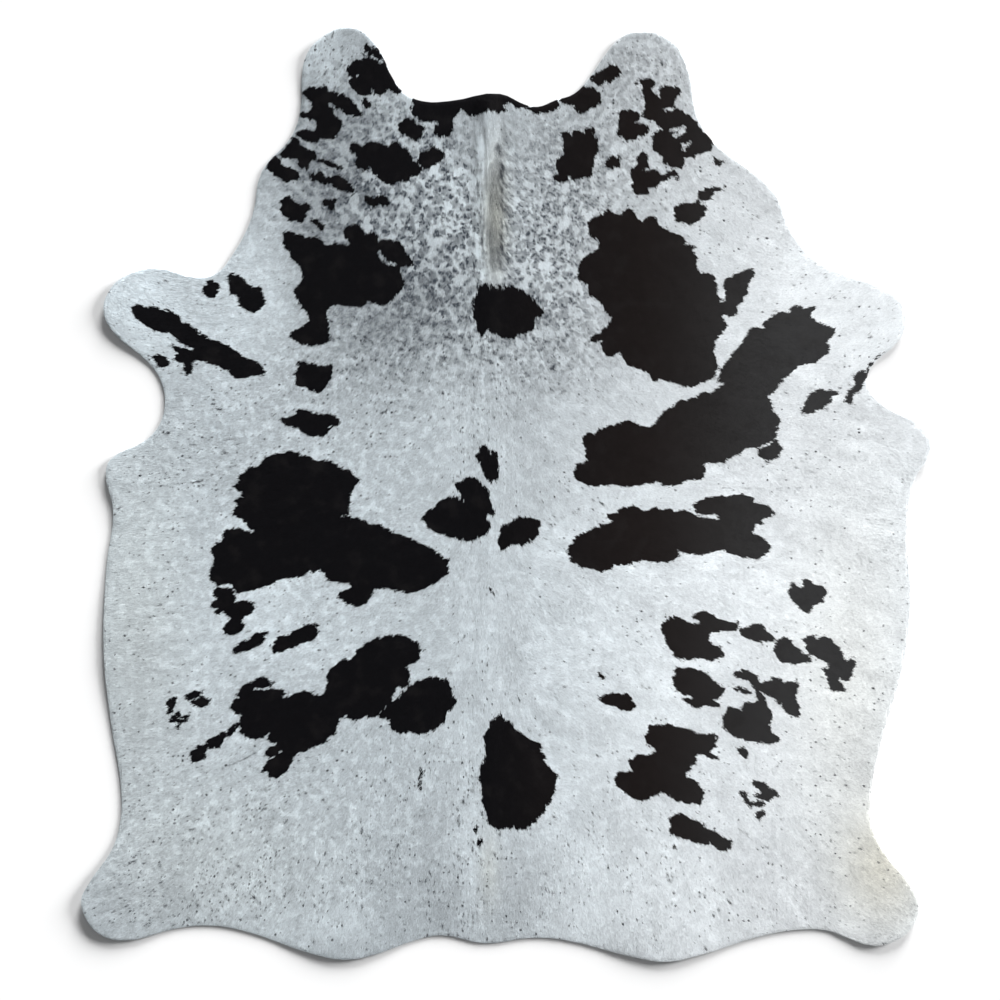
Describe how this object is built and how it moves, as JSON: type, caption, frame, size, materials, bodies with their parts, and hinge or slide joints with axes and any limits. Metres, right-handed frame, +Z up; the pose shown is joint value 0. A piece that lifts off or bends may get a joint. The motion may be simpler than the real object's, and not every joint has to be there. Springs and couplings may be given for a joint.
{
  "type": "cowhide rug",
  "caption": "Hair-on cowhide floor rug in its natural outline, with neck flaps, legs, a mane ridge along the spine and dark patches on a pale speckled coat.",
  "frame": {"origin": "middle of the outline's box, on the floor face of the hide", "axes": "+Y along the spine towards the neck, +X towards the right flank seen from above, +Z up through the hair side"},
  "size_m": [1.9085, 2.1, 0.0138],
  "materials": {
    "hair_on_hide": "lying short hair, soft sheen, suede underneath"
  },
  "bodies": {
    "root": {"hide": "hair_on_hide"}
  },
  "joints": []
}
